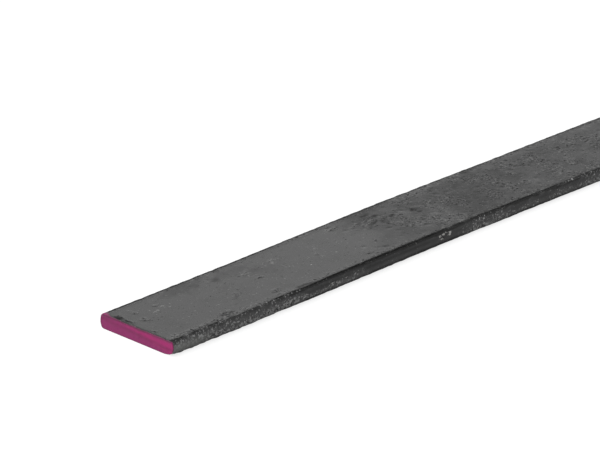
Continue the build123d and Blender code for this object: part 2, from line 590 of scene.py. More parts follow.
# Wiped: a grey film that evens out the near edge beside the paint.
WIPED_STRETCH = ((0, 1.0), (7, 0.8), (15, 0.0))
WIPED_HEIGHTS = ((0.3, 0.8), (1.8, 3.3))
wiped = profile(along, WIPED_STRETCH) * band(height, *WIPED_HEIGHTS)
stored(bar, "wiped", wiped * on_edge * near_edge)

# The border of every patch is made ragged by this.
RUFFLE = 0.55
PATCH_BORDER = (0.2, 1.6)    # squared distances, in half sizes, over which a patch fades
ruffle = np.exp(RUFFLE * waves(level, 24, 1.2, 9, seed=27))


def patch_at(middle_along, middle_across, length, width, turn=0.0):
    """A soft oval patch of the top face with a ragged border, 1 in its middle and 0 outside."""
    dx, dy = along - middle_along, across - middle_across
    u = (dx * math.cos(turn) + dy * math.sin(turn)) / length
    v = (dy * math.cos(turn) - dx * math.sin(turn)) / width
    return (1 - smooth_step((u * u + v * v) * ruffle, *PATCH_BORDER)) * upper_half


# Dull: how matt the scale of the flat faces is. It is duller past 78 mm and in soft patches, a
# little glossier from about 165 to 220 mm, and glossier along the far corner from about 100 to
# 210 mm. Each patch has its share first.
DULL_PATCHES = (
    (0.45, 23, 8.6, 9, 2.4), (0.4, 39, 7.6, 7, 2.6, 0.1), (0.2, 47, 3, 6, 3), (0.25, 116, -3, 7, 12, -0.5),
    (-0.25, 100, -6, 6, 5), (0.3, 84, 8, 4, 4), (0.45, 84.3, 3.4, 1.7, 1.3), (0.4, 88.6, 3.2, 2.2, 1.0, 0.7),
    (0.35, 87, 6.4, 2.2, 1.2), (0.35, 98.6, 2.6, 1.1, 1.8), (0.3, 108.3, 5.4, 1.3, 1.3),
    (0.3, 118.3, 7.0, 1.2, 1.2), (0.2, 88, 4, 5, 3), (0.2, 91, 0, 4, 3), (-0.15, 104, -1, 3, 4),
    (0.15, 114, 0, 3, 3), (-0.2, 78, 8, 5, 4), (-0.25, 148, -8, 6, 3), (-0.15, 158, 2, 6, 12),
    (0.12, 51, -4, 9, 6), (0.15, 129, 3, 5, 7), (0.25, 134, 11, 7, 2))
DULL_START, DULL_START_WAVES, DULL_SHARE = (71, 84), 3, 0.5
DULLER_START, DULLER_SHARE = (86, 96), 0.15
CLOUDY_SHARE, MOTTLED_SHARE = 0.10, 0.05
GLOSSY_STRETCH, GLOSSY_SHARE = ((160, 172), (200, 240)), 0.2
FAR_STRETCH, FAR_STRIP, FAR_SHARE = ((88, 108), (190, 230)), (8.0, 10.5), 0.35
UNDERSIDE_DULL = 0.5
dull = DULL_SHARE * smooth_step(along + DULL_START_WAVES * waves(level, 6, 10, 40, seed=24), *DULL_START)
dull += DULLER_SHARE * smooth_step(along, *DULLER_START)
dull += CLOUDY_SHARE * waves(level, 14, 6, 40, seed=25) + MOTTLED_SHARE * waves(level, 20, 1.5, 6, seed=28)
for share, *patch in DULL_PATCHES:
    dull += share * patch_at(*patch)
dull -= GLOSSY_SHARE * band(along, *GLOSSY_STRETCH)
dull -= FAR_SHARE * band(along, *FAR_STRETCH) * smooth_step(across, *FAR_STRIP)
dull = np.clip(dull, 0, 1) * upper_half + UNDERSIDE_DULL * ~upper_half
stored(bar, "dull", dull * (1 - on_edge))

# Worn and shade: dark matt marks. A painted shade line runs along the far top corner, and worn
# marks are the tip of the near top corner, two nicks beside the paint, and fainter smudges on the
# top face.
FAR_LINE_START, FAR_LINE_FULL = 1.65, 1.45
FAR_LINE_HEIGHTS = (2.2, 3.2)
TIP_LENGTH, TIP_WIDTH, TIP_INSET = 1.1, 0.7, 0.3
NICK_SHARE, SMUDGE_SHARE = 0.9, 0.5
FAR_SHADE_LINE = ((52, 1.0), (62, 0.5), (72, 0.5), (80, 0.9), (88, 0.9), (100, 0.45))
NICKS = ((0.45, 6.9, 0.55, 1.2), (0.75, 3.7, 0.5, 1.3))
SMUDGES = (
    (87.7, 3.4, 0.6, 0.8), (86.4, 3.9, 1.6, 0.6, 0.4), (86.2, 8.4, 1.0, 0.5), (91.9, 3.8, 1.2, 0.5, 0.3),
    (98.4, 2.7, 0.8, 0.4, 0.5), (99.0, 0.6, 0.9, 0.5), (95.9, -3.6, 0.7, 0.5), (88.6, 6.6, 0.9, 0.5),
    (19.4, -9.5, 1.3, 0.35, 0.35), (21.9, -9.9, 0.9, 0.3, -0.2), (20.6, -10.5, 0.8, 0.3),
    (45.5, -11.0, 2.2, 0.5))
# Painted shade: a dark strip along the far top corner, which darkens its outline.
worn_and_shade = smooth_step(across, HALF_WIDTH - FAR_LINE_START, HALF_WIDTH - FAR_LINE_FULL)
worn_and_shade *= smooth_step(height, *FAR_LINE_HEIGHTS) * profile(along, FAR_SHADE_LINE)
from_tip = (along / TIP_LENGTH) ** 2 + ((across + HALF_WIDTH - TIP_INSET) / TIP_WIDTH) ** 2
worn_and_shade = np.maximum(worn_and_shade, np.exp(-from_tip) * (height > TOP_HEIGHT))
worn_and_shade = np.maximum(worn_and_shade, sum(NICK_SHARE * patch_at(*spot) for spot in NICKS))
for spot in SMUDGES:
    worn_and_shade = np.maximum(worn_and_shade, SMUDGE_SHARE * patch_at(*spot))
stored(bar, "worn_and_shade", worn_and_shade)

# Rough: where loose scale was rolled in. There is a thin scatter along both corners, closer on the
# near one up to 20 mm, and spots: a large one 20 mm along, some beside the paint and a scratch.
ROLLED_IN = (
    (0.7, 6.3, 0.8, 1.6), (0.9, 3.6, 0.8, 2.0), (0.9, -4.9, 0.6, 0.9), (20.3, -9.6, 3.4, 1.1, 0.15),
    (4.9, 6.2, 0.9, 1.4), (4.2, 1.5, 0.8, 0.9), (11.5, 6.1, 0.8, 0.6), (29.8, -3.6, 1.6, 0.6, 0.8),
    (89.0, 3.6, 1.9, 0.8, 0.7), (98.6, 2.6, 0.9, 1.7), (96.4, -3.2, 1.2, 1.2, 0.4), (75.2, 8.0, 1.2, 0.6),
    (82.2, 4.0, 0.9, 0.6, 0.5), (61.2, -0.1, 0.6, 0.5), (77.6, -4.5, 0.7, 0.5), (71.7, -8.6, 0.8, 0.5),
    (38.8, -8.6, 1.2, 0.8), (41.6, -0.2, 1.0, 0.5), (86.0, -5.6, 0.7, 0.6), (112.8, -10.3, 1.2, 0.5),
    (122.8, 6.2, 0.8, 0.6), (143.5, 2.8, 0.6, 0.6), (154.6, 5.4, 2.2, 0.9, 0.2), (138.0, -4.0, 0.8, 0.6),
    (146.0, -1.6, 0.7, 0.6))
BESIDE_EDGE = ((0.7, 1.2), (1.6, 3.2))       # distances from the side of the bar
SCATTER_SHARE = 0.45
CLOSER_SHARE, CLOSER_END = 0.6, (16, 24)
ROLLED_IN_SHARE = 0.8
beside = band(HALF_WIDTH - np.abs(across), *BESIDE_EDGE) * upper_half
rough = beside * (SCATTER_SHARE + CLOSER_SHARE * (1 - smooth_step(along, *CLOSER_END)) * near_edge)
for spot in ROLLED_IN:
    rough = np.maximum(rough, ROLLED_IN_SHARE * patch_at(*spot))
stored(bar, "rough", np.clip(rough, 0, 1) * (1 - on_edge))

# Dimpled: how closely small hollows pock the flat faces, hardly over the first 75 mm, then more and
# more, and closest in these clusters.
CLUSTERS = (
    (84.5, 4.6, 3.6, 2.6, 0.3), (81.5, 6.2, 2.0, 1.2, 0.6), (93.5, 1.6, 2.6, 3.0), (136.0, 6.5, 4.6, 2.2),
    (133.0, 1.6, 1.3, 1.4), (131.5, -5.5, 2.2, 1.3), (143.4, -4.0, 3.2, 2.8), (150.2, -4.4, 2.4, 2.0),
    (154.0, 4.0, 2.6, 2.6), (97.5, -4.5, 3.0, 4.0, 0.7), (120.0, -1.6, 2.2, 2.4), (126.5, -5.6, 1.6, 2.6),
    (90.5, -2.4, 2.6, 2.6), (88.6, 3.4, 2.0, 2.2), (104.5, 9.6, 3.6, 1.2), (110.0, 9.4, 5.0, 1.0),
    (160.0, 6.0, 4.0, 2.4, 0.7))
DIMPLED_START, DIMPLED_START_WAVES = (78, 104), 6
FEW_DIMPLES, MORE_DIMPLES = 0.03, 0.12
SWARMS, SWARM_FULL = 0.75, 1.3
CLUSTER_SHARE = 0.95
spread = smooth_step(along + DIMPLED_START_WAVES * waves(level, 8, 14, 60, seed=22), *DIMPLED_START)
swarms = smooth_step(waves(level, 24, 5, 18, seed=23), 0, SWARM_FULL)
dimpled = FEW_DIMPLES + spread * (MORE_DIMPLES + SWARMS * swarms)
for spot in CLUSTERS:
    dimpled = np.maximum(dimpled, CLUSTER_SHARE * patch_at(*spot))
stored(bar, "dimpled", np.clip(np.maximum(dimpled, rough), 0, 1) * (1 - on_edge))

# Flecked: paler flecks where the flat faces are dimpled, along both corners, in a scratch from 28 to
# 32 mm, and in these groups.
FLECKS = (
    (8.8, 2.9, 1.5, 1.2), (13.5, 4.2, 1.5, 0.8), (29.8, -2.2, 3.6, 0.35, 0.87), (40.5, 3.8, 1.6, 1.4, 0.5),
    (49.5, 4.5, 3.6, 1.4, 0.5), (51.0, 0.5, 1.6, 1.2), (36.5, -4.4, 3.0, 0.5, 0.6), (62.9, 2.4, 1.4, 1.0),
    (61.5, -1.9, 0.8, 1.6), (65.9, -2.6, 0.6, 0.6), (62.1, 1.2, 0.6, 0.8), (41.4, 5.0, 2.4, 0.6, 0.5),
    (73.3, 8.5, 0.9, 0.7), (76.9, -1.7, 0.9, 0.6), (76.4, -5.7, 0.7, 0.7), (19.4, -11.0, 2.0, 0.6))
FLECKED_DIMPLES, FLECKED_CORNERS = 0.65, 0.4
flecked = FLECKED_DIMPLES * dimpled + FLECKED_CORNERS * beside
for spot in FLECKS:
    flecked = np.maximum(flecked, patch_at(*spot))
stored(bar, "flecked", np.clip(flecked, 0, 1) * (1 - on_edge))

# Chipped: where the scale flaked off and bare steel shows. The chips on the near edge are given by
# place along, height, half length and half height: bright ones 92 to 97 mm along, and small ones
# elsewhere. The flakes missing from the top face are given by place along and across.
BRIGHT_CHIPS = ((92.8, 2.75, 0.6, 0.4), (94.1, 3.0, 0.75, 0.35), (96.5, 2.85, 0.5, 0.5),
                (96.0, 2.4, 0.7, 0.28), (95.2, 3.2, 0.4, 0.2), (93.4, 1.95, 0.7, 0.3))
SMALL_CHIPS = ((35.9, 1.6, 0.6, 0.3), (37.6, 1.3, 1.0, 0.45), (39.2, 1.9, 0.7, 0.4), (106.5, 1.3, 0.8, 0.4),
               (108.6, 1.7, 0.8, 0.4), (53.8, 2.3, 0.8, 0.35), (55.6, 2.1, 0.7, 0.4), (57.4, 2.5, 0.8, 0.4),
               (59.2, 2.3, 1.0, 0.4))
MISSING_FLAKES = ((63.7, 2.3), (63.3, 0.9), (55.8, -3.5), (54.7, -3.9), (43.8, 1.3), (51.0, 2.8), (74.0, 9.5),
                  (80.8, 6.8), (76.8, -5.0), (76.5, -1.2), (84.7, 4.6), (85.8, 8.9), (105.1, 11.2))
SMALL_CHIP_SHARE = 0.65
MISSING_FLAKE_SHARE, MISSING_FLAKE_RADIUS = 0.75, 0.3
chipped = np.zeros(len(place))
for strength, chips in ((1, BRIGHT_CHIPS), (SMALL_CHIP_SHARE, SMALL_CHIPS)):
    for middle, middle_height, length, tall in chips:
        distance = ((along - middle) / length) ** 2 + ((height - middle_height) / tall) ** 2
        chipped = np.maximum(chipped, strength * np.exp(-distance) * near_edge * on_edge)
for middle, middle_across in MISSING_FLAKES:
    distance = ((along - middle) ** 2 + (across - middle_across) ** 2) / MISSING_FLAKE_RADIUS**2
    chipped = np.maximum(chipped, MISSING_FLAKE_SHARE * np.exp(-distance) * (height > TOP_HEIGHT))
stored(bar, "chipped", chipped)


def linear(hex_colour):
    """Linear RGBA of an sRGB hex colour: each channel undone from the sRGB curve."""
    channels = [int(hex_colour[i : i + 2], 16) / 255 for i in (1, 3, 5)]
    return [c / 12.92 if c <= 0.04045 else ((c + 0.055) / 1.055) ** 2.4 for c in channels] + [1.0]


def add(tree, kind, inputs=None, **settings):
    """Adds a node, sets its own settings, and links or sets each named or numbered input.

    A node that is given as an input is linked by the first of its outputs that is in use.
    """
    node = tree.nodes.new(kind)
    for key, value in settings.items():
        setattr(node, key, value)
    for key, value in (inputs or {}).items():
        if isinstance(value, bpy.types.Node):
            value = next(socket for socket in value.outputs if socket.enabled)
        if isinstance(value, bpy.types.NodeSocket):
            tree.links.new(value, node.inputs[key])
        else:
            node.inputs[key].default_value = value
    return node


def new_material(name):
    """A material whose node tree is empty."""
    material = bpy.data.materials.new(name)
    material.use_nodes = True
    material.node_tree.nodes.clear()
    return material


# Hot-rolled mill scale: the thin, hard skin of iron oxide that grows on red-hot steel and is
# rolled onto it. It is nearly black, and its satin sheen gives the eye dark grey flat faces. Where
# it is loose or gritty it is matt and paler, and where it flaked off the steel shines through.
CLOUD_COLOURS = ("#101010", "#1b1b1b")       # of the dense scale, from cloud to cloud
SUNKEN_COLOUR = "#0a0a0a"                    # in hollows, rolled-in spots, worn marks and the painted shade line along the far top corner
LOOSE_COLOURS = ("#3f3f3f", "#7c7c7c")       # of the loose scale, from glossy to dusky
GRAIN_COLOUR = "#929292"
HOLE_COLOUR = "#1a1a1a"                      # between the grains
WIPED_COLOUR = "#747573"
LIP_COLOUR = "#3c3c3c"                       # round the dimples
FLECK_COLOUR = "#5a5a59"
STEEL_COLOUR = "#a9a8a5"
SATIN = (0.2, 0.26)                          # roughness of the dense scale, from cloud to cloud

# Sizes of the patterns. The crystals of real scale are a few hundredths of a millimetre across, too
# fine to show, so its grain, specks, crumbs and flakes are drawn about half a millimetre wide.
CLOUD_SIZE = 9.0
GRAIN_SIZE = 0.45
SPECK_SIZE = 0.5
CRUMB_SIZE = 0.6
PEBBLE_SIZE = 1.3
CLUMP_SIZE = 1.1
FLAKE_SIZE = 0.45
DIMPLE_SIZES = (1.5, 0.7)
RAGGED_SIZE = 1 / 1.1
RAGGED_SHIFT = 0.9
ELSEWHERE = (50.0, 0.0, 0.0)                 # takes the crumbs from another part of the noise
CLUMP_STRETCH, CLUMP_SHIFT = (0.35, 1.0, 1.0), (21.0, 0.0, 0.0)
MEAN_NOISE = 0.5                             # what a noise is on average

# Where each pattern starts to show and where it is full.
CLOUD_RANGE = (0.3, 0.7)
DIMPLED_RANGE = (-0.04, 0.2)
FLECK_RANGE = (0.67, 0.73)
SUNKEN_RANGE = (0.68, 0.76)
GRAIN_RANGE = (0.84, 1.02)
GRITTY_RANGE = (0.0, 0.25)
HOLE_RANGE = (0.4, 0.5)
BARE_RANGE = (1.5, 1.75)

# What the stored shares and the other patterns add to a pattern before its range is applied.
FLECKED_HELP = 0.13
MARRED_DIMPLES, MARRED_HELP = 0.6, 0.16
CLUMP_HELP, FLAKE_HELP, GRIT_HELP = 0.5, 0.35, 0.2
FLAKE_HINDRANCE = -0.25
GRAIN_HELP = 2.0

# How strongly the finishes colour the dense scale where they are full.
SUNKEN_IN_HOLLOWS = 0.4
LOOSE_STRENGTH, HOLE_STRENGTH, WIPED_STRENGTH = 0.9, 0.8, 0.9
LIP_STRENGTH, FLECK_STRENGTH = 0.5, 0.8

# Heights of the relief, and how much each share adds to the roughness.
DIMPLE_DEPTHS = (-0.09, -0.07)
LIP_HEIGHT, GRAIN_HEIGHT, PEBBLE_HEIGHT, DULL_HEIGHT, GRIT_HEIGHT = 0.015, 0.006, 0.12, 0.06, 0.12
ROUGHENING = {"dull": 0.3, "grit": 0.2, "sunken": 0.75, "rough": 0.1, "dusky": 0.75}

scale = new_material("hot_rolled_mill_scale")
tree = scale.node_tree
where = add(tree, "ShaderNodeTexCoord").outputs["Object"]
mm = add(tree, "ShaderNodeVectorMath", {0: where, 3: 1 / MM}, operation="SCALE")
mark = {name: add(tree, "ShaderNodeAttribute", attribute_name=name).outputs["Fac"]
        for name in ("grit", "dusky", "wiped", "dull", "worn_and_shade", "rough", "dimpled", "flecked", "chipped")}

clouds = add(tree, "ShaderNodeTexNoise",
             {"Vector": mm, "Scale": 1 / CLOUD_SIZE, "Detail": 4.0, "Roughness": 0.6})
grain = add(tree, "ShaderNodeTexNoise",
            {"Vector": mm, "Scale": 1 / GRAIN_SIZE, "Detail": 3.0, "Roughness": 0.6})
specks = add(tree, "ShaderNodeTexNoise",
             {"Vector": mm, "Scale": 1 / SPECK_SIZE, "Detail": 3.0, "Roughness": 0.7})
elsewhere = add(tree, "ShaderNodeVectorMath", {0: mm, 1: ELSEWHERE}, operation="ADD")
crumbs = add(tree, "ShaderNodeTexNoise",
             {"Vector": elsewhere, "Scale": 1 / CRUMB_SIZE, "Detail": 2.0, "Roughness": 0.5})
pebbles = add(tree, "ShaderNodeTexNoise",
              {"Vector": mm, "Scale": 1 / PEBBLE_SIZE, "Detail": 1.5, "Roughness": 0.5})
drawn_out = add(tree, "ShaderNodeVectorMath", {0: mm, 1: CLUMP_STRETCH, 2: CLUMP_SHIFT},
                operation="MULTIPLY_ADD")
clumps = add(tree, "ShaderNodeTexNoise", {"Vector": drawn_out, "Scale": 1 / CLUMP_SIZE, "Detail": 3.0,
                                          "Roughness": 0.6, "Distortion": 0.4})

# The cells of the dimples and flakes are made ragged by shifting each place by a noise.
ragged = add(tree, "ShaderNodeTexNoise", {"Vector": mm, "Scale": 1 / RAGGED_SIZE, "Detail": 2.0})
ragged = add(tree, "ShaderNodeVectorMath", {0: ragged.outputs["Color"], 3: RAGGED_SHIFT}, operation="SCALE")
ragged = add(tree, "ShaderNodeVectorMath", {0: mm, 1: ragged}, operation="ADD")

# A dimple's floor, rim and lip as distances from the middle of its cell, in cells.
DIMPLE_FLOOR = 0.05
DIMPLE_RIM = 0.42
DIMPLE_LIP = 0.22
DIMPLED_CELLS = 0.85         # share of the cells that have one where dimples are closest


def dimples(size):
    """Ragged hollows in some cells of a 3-D Voronoi grid, 1 on their floors, and their lips.

    A cell has a hollow if its random number is below the dimpled share there. The hollow fades
    out from its floor to its rim, and the lip from the rim outwards.
    """
    grid = add(tree, "ShaderNodeTexVoronoi", {"Vector": ragged, "Scale": 1 / size, "Randomness": 1.0})
    number = add(tree, "ShaderNodeSeparateColor", {0: grid.outputs["Color"]})
    chance = add(tree, "ShaderNodeMath", {0: mark["dimpled"], 1: DIMPLED_CELLS}, operation="MULTIPLY")
    chance = add(tree, "ShaderNodeMath", {0: chance, 1: number}, operation="SUBTRACT")
    present = add(tree, "ShaderNodeMapRange",
                  {"Value": chance, "From Min": DIMPLED_RANGE[0], "From Max": DIMPLED_RANGE[1]},
                  interpolation_type="SMOOTHSTEP")
    inside, around = (
        add(tree, "ShaderNodeMapRange",
            {"Value": grid, "From Min": start, "From Max": end, "To Min": 1.0, "To Max": 0.0},
            interpolation_type="SMOOTHSTEP")
        for start, end in ((DIMPLE_FLOOR, DIMPLE_RIM), (DIMPLE_RIM, DIMPLE_RIM + DIMPLE_LIP)))
    lip = add(tree, "ShaderNodeMath", {0: around, 1: inside}, operation="SUBTRACT")
    return [add(tree, "ShaderNodeMath", {0: shape, 1: present}, operation="MULTIPLY")
            for shape in (inside, lip)]


(wide, wide_lip), (small, small_lip) = (dimples(size) for size in DIMPLE_SIZES)
hollow = add(tree, "ShaderNodeMath", {0: wide, 1: small}, operation="MAXIMUM")
lips = add(tree, "ShaderNodeMath", {0: wide_lip, 1: small_lip}, operation="MAXIMUM")

# Flecks show where crumbs are few, and more easily where the face is flecked.
flecks = add(tree, "ShaderNodeMath", {0: 1.0, 1: crumbs}, operation="SUBTRACT")
flecks = add(tree, "ShaderNodeMath", {0: mark["flecked"], 1: FLECKED_HELP, 2: flecks},
             operation="MULTIPLY_ADD")
flecks = add(tree, "ShaderNodeMapRange",
             {"Value": flecks, "From Min": FLECK_RANGE[0], "From Max": FLECK_RANGE[1]},
             interpolation_type="SMOOTHSTEP")

# Sunken: dark crumbs in rough and dimpled places, the hollows of the dimples, the worn marks, and
# the painted shade line along the far top corner.
marred = add(tree, "ShaderNodeMath", {0: mark["dimpled"], 1: MARRED_DIMPLES}, operation="MULTIPLY")
marred = add(tree, "ShaderNodeMath", {0: mark["rough"], 1: marred}, operation="MAXIMUM")
sunken = add(tree, "ShaderNodeMath", {0: marred, 1: MARRED_HELP, 2: crumbs}, operation="MULTIPLY_ADD")
sunken = add(tree, "ShaderNodeMapRange",
             {"Value": sunken, "From Min": SUNKEN_RANGE[0], "From Max": SUNKEN_RANGE[1]},
             interpolation_type="SMOOTHSTEP")
hollows = add(tree, "ShaderNodeMath", {0: hollow, 1: SUNKEN_IN_HOLLOWS}, operation="MULTIPLY")
sunken = add(tree, "ShaderNodeMath", {0: sunken, 1: hollows}, operation="MAXIMUM")
sunken = add(tree, "ShaderNodeMath", {0: sunken, 1: mark["worn_and_shade"]}, operation="MAXIMUM")

# Grains: specks gathered in clumps, each in a flake with a lightness of its own, where grit lies.
flakes = add(tree, "ShaderNodeTexVoronoi", {"Vector": ragged, "Scale": 1 / FLAKE_SIZE, "Randomness": 1.0})
flakes = add(tree, "ShaderNodeSeparateColor", {0: flakes.outputs["Color"]})
clumped = add(tree, "ShaderNodeMath", {0: clumps, 1: MEAN_NOISE}, operation="SUBTRACT")
grains = add(tree, "ShaderNodeMath", {0: clumped, 1: CLUMP_HELP, 2: specks}, operation="MULTIPLY_ADD")
grains = add(tree, "ShaderNodeMath", {0: flakes, 1: FLAKE_HELP, 2: grains}, operation="MULTIPLY_ADD")
grains = add(tree, "ShaderNodeMath", {0: mark["grit"], 1: GRIT_HELP, 2: grains}, operation="MULTIPLY_ADD")
grains = add(tree, "ShaderNodeMapRange",
             {"Value": grains, "From Min": GRAIN_RANGE[0], "From Max": GRAIN_RANGE[1]},
             interpolation_type="SMOOTHSTEP")
gritty = add(tree, "ShaderNodeMapRange",
             {"Value": mark["grit"], "From Min": GRITTY_RANGE[0], "From Max": GRITTY_RANGE[1]},
             interpolation_type="SMOOTHSTEP")
grains = add(tree, "ShaderNodeMath", {0: grains, 1: gritty}, operation="MULTIPLY")

# Holes: dark crumbs in the grit, more of them in the darker flakes.
holes = add(tree, "ShaderNodeMath", {0: flakes, 1: FLAKE_HINDRANCE, 2: crumbs}, operation="MULTIPLY_ADD")
holes = add(tree, "ShaderNodeMapRange",
            {"Value": holes, "From Min": HOLE_RANGE[0], "From Max": HOLE_RANGE[1]},
            interpolation_type="SMOOTHSTEP")

# Bare: steel with a ragged border where the scale is chipped.
bare = add(tree, "ShaderNodeMath", {0: grain, 1: GRAIN_HELP, 2: mark["chipped"]}, operation="MULTIPLY_ADD")
bare = add(tree, "ShaderNodeMapRange", {"Value": bare, "From Min": BARE_RANGE[0], "From Max": BARE_RANGE[1]},
           interpolation_type="SMOOTHSTEP")

# Colour: the dense scale, then each of the finishes over it by its share.
light_clouds = add(tree, "ShaderNodeMapRange",
                   {"Value": clouds, "From Min": CLOUD_RANGE[0], "From Max": CLOUD_RANGE[1]},
                   interpolation_type="SMOOTHSTEP")
colour = add(tree, "ShaderNodeMix",
             {0: light_clouds, 6: linear(CLOUD_COLOURS[0]), 7: linear(CLOUD_COLOURS[1])}, data_type="RGBA")
loose = add(tree, "ShaderNodeMix",
            {0: mark["dusky"], 6: linear(LOOSE_COLOURS[0]), 7: linear(LOOSE_COLOURS[1])}, data_type="RGBA")
in_grit = add(tree, "ShaderNodeMath", {0: mark["grit"], 1: HOLE_STRENGTH}, operation="MULTIPLY")
for share, strength, over in (
        (sunken, None, linear(SUNKEN_COLOUR)), (mark["grit"], LOOSE_STRENGTH, loose),
        (grains, None, linear(GRAIN_COLOUR)), (holes, in_grit, linear(HOLE_COLOUR)),
        (mark["wiped"], WIPED_STRENGTH, linear(WIPED_COLOUR)), (lips, LIP_STRENGTH, linear(LIP_COLOUR)),
        (flecks, FLECK_STRENGTH, linear(FLECK_COLOUR)), (bare, None, linear(STEEL_COLOUR))):
    if strength is not None:
        share = add(tree, "ShaderNodeMath", {0: share, 1: strength}, operation="MULTIPLY")
    colour = add(tree, "ShaderNodeMix", {0: share, 6: colour, 7: over}, data_type="RGBA")

roughness = add(tree, "ShaderNodeMapRange",
                {"Value": clouds, "From Min": CLOUD_RANGE[0], "From Max": CLOUD_RANGE[1],
                 "To Min": SATIN[0], "To Max": SATIN[1]},
                interpolation_type="SMOOTHSTEP")
for name, amount in ROUGHENING.items():
    share = sunken if name == "sunken" else mark[name]
    roughness = add(tree, "ShaderNodeMath", {0: share, 1: amount, 2: roughness}, operation="MULTIPLY_ADD")

pebbled = add(tree, "ShaderNodeMath", {0: pebbles, 1: mark["dimpled"]}, operation="MULTIPLY")
dull_grain = add(tree, "ShaderNodeMath", {0: grain, 1: mark["dull"]}, operation="MULTIPLY")
grit_specks = add(tree, "ShaderNodeMath", {0: specks, 1: mark["grit"]}, operation="MULTIPLY")
relief = add(tree, "ShaderNodeMath", {0: wide, 1: DIMPLE_DEPTHS[0]}, operation="MULTIPLY")
for part, rise in ((small, DIMPLE_DEPTHS[1]), (lips, LIP_HEIGHT), (grain, GRAIN_HEIGHT),
                   (pebbled, PEBBLE_HEIGHT), (dull_grain, DULL_HEIGHT), (grit_specks, GRIT_HEIGHT)):
    relief = add(tree, "ShaderNodeMath", {0: part, 1: rise, 2: relief}, operation="MULTIPLY_ADD")
bump = add(tree, "ShaderNodeBump", {"Strength": 1.0, "Distance": MM, "Height": relief})
surface = add(tree, "ShaderNodeBsdfPrincipled",
              {"Base Color": colour, "Roughness": roughness, "Metallic": 0.0, "Normal": bump})
add(tree, "ShaderNodeOutputMaterial", {"Surface": surface})
bar.data.materials.append(scale)

# ---------------------------------------------------------------------------------------------
# The colour mark. A coat of magenta marking paint, which tells the grade or size in the rack and
# is brushed on the near end. It covers the cropped face and laps over its rim, furthest at the
# top far corner.
# ---------------------------------------------------------------------------------------------
PAINT_THICKNESS = 0.05
PAINT_BITE = 0.03            # how far its inside is sunk into the steel
BORDER_SHARE = 0.97          # how much the coat has thinned, squared, at the border of the lap
LAP_ROWS = 9
LAP = 0.1
LAP_ON_TOP, LAP_WAVES = -0.06, 0.03
LAP_ON_NEAR_EDGE = 0.33
LAP_AT_FAR_CORNER = 1.5
LEAST_LAP = 0.015
# Heights, and distances from the middle line, at which parts of the outline start and are full.
TOP_HEIGHTS = (3.2, 3.9)
EDGE_WIDTHS = (11.4, 12.1)
FAR_CORNER_WIDTHS, FAR_CORNER_HEIGHTS = (8.6, 12.0), (2.4, 3.8)


def paint_lap():
    """How far the paint laps along the bar at each point of the section's outline."""
    y, z = ring[:, 0], ring[:, 1]
    line = np.stack([np.zeros_like(y), y, z], 1)
    on_top = smooth_step(z, *TOP_HEIGHTS)
    lap = LAP + on_top * (LAP_WAVES * waves(line, 12, 0.9, 5, seed=31) + LAP_ON_TOP)
    lap += LAP_ON_NEAR_EDGE * smooth_step(-y, *EDGE_WIDTHS) * (1 - on_top)
    lap += LAP_AT_FAR_CORNER * smooth_step(y, *FAR_CORNER_WIDTHS) * smooth_step(z, *FAR_CORNER_HEIGHTS)
    return np.maximum(lap, LEAST_LAP)


def facing(points, faces):
    """Unit outward normals of a quad mesh's points, averaged over their faces by area."""
    a, b, c, d = (points[faces[:, k]] for k in range(4))
    across = np.cross(c - a, d - b)
    total = np.zeros_like(points)
    np.add.at(total, faces.ravel(), np.repeat(across, 4, axis=0))
    return total / np.linalg.norm(total, axis=1, keepdims=True)


RUBBED_RIM = 0.4
LESS_ON_NEAR_EDGE, NEAR_EDGE_HEIGHTS = 0.3, (2.6, 3.3)
LESS_AT_FAR_CORNER, FAR_RIM_WIDTHS, FAR_RIM_HEIGHTS = 0.05, (9.0, 11.5), (2.4, 3.4)
RUBBED_LAP = (0.1, 0.8)      # shares of the lap
RUBBED_TOP, RUBBED_DEPTH = 0.8, 0.34
# Painted shade along the far and bottom borders of the end.
FAR_BORDER_SHADE = 0.3
FOOT_SHADE, FOOT_BORDER = 0.45, (-0.35, -0.1)


def rubbed_off_and_shade(share, patch):
    """How far the paint is rubbed off at each point of the lap and inside the end's grid, with painted
    shade at the end's far and bottom borders.

    On the lap it grows from the rim outwards, and is less on the near edge below the top corner
    and slightly less at the far top corner. On the end it fades evenly by ratio with the distance
    below the top edge, and the far and bottom borders are darkened a little as painted shade.
    """
    y, z = ring[:, 0], ring[:, 1]
    near_edge_foot = smooth_step(-y, *EDGE_WIDTHS) * (1 - smooth_step(z, *NEAR_EDGE_HEIGHTS))
    rim = RUBBED_RIM - LESS_ON_NEAR_EDGE * near_edge_foot
    rim = rim - LESS_AT_FAR_CORNER * smooth_step(y, *FAR_RIM_WIDTHS) * smooth_step(z, *FAR_RIM_HEIGHTS)
    on_lap = rim + (1 - rim) * smooth_step(share, *RUBBED_LAP)[:, None]
    below = patch[:1, :, 2] - patch[..., 2]
    on_end = RUBBED_TOP * np.exp(-below / RUBBED_DEPTH)
    # Painted shade: the far and bottom borders are darkened.
    on_end = np.maximum(on_end, FAR_BORDER_SHADE * smooth_step(patch[..., 1], *EDGE_WIDTHS))
    on_end = np.maximum(on_end, FOOT_SHADE * smooth_step(-patch[..., 2], *FOOT_BORDER))
    return np.concatenate([on_lap.ravel(), on_end[1:-1, 1:-1].ravel()])


# The coat's place on its texture map. Margins and shifts are in millimetres, the hem's square and
# the inside's corner in the map's pixels, and the scales in pixels per millimetre.
PAINT_MAP_SIZE = 256.0
PAINT_SCALE = 17.0
INSIDE_SCALE = 2.0
PAINT_MARGINS = (1.6, 1.4)
STRIP_OVERLAP = 0.7
STRIP_RISE = 7.0
HEM_SQUARE = ((2, 250), (3, 250), (3, 251), (2, 251))
INSIDE_CORNER = (90, 240)


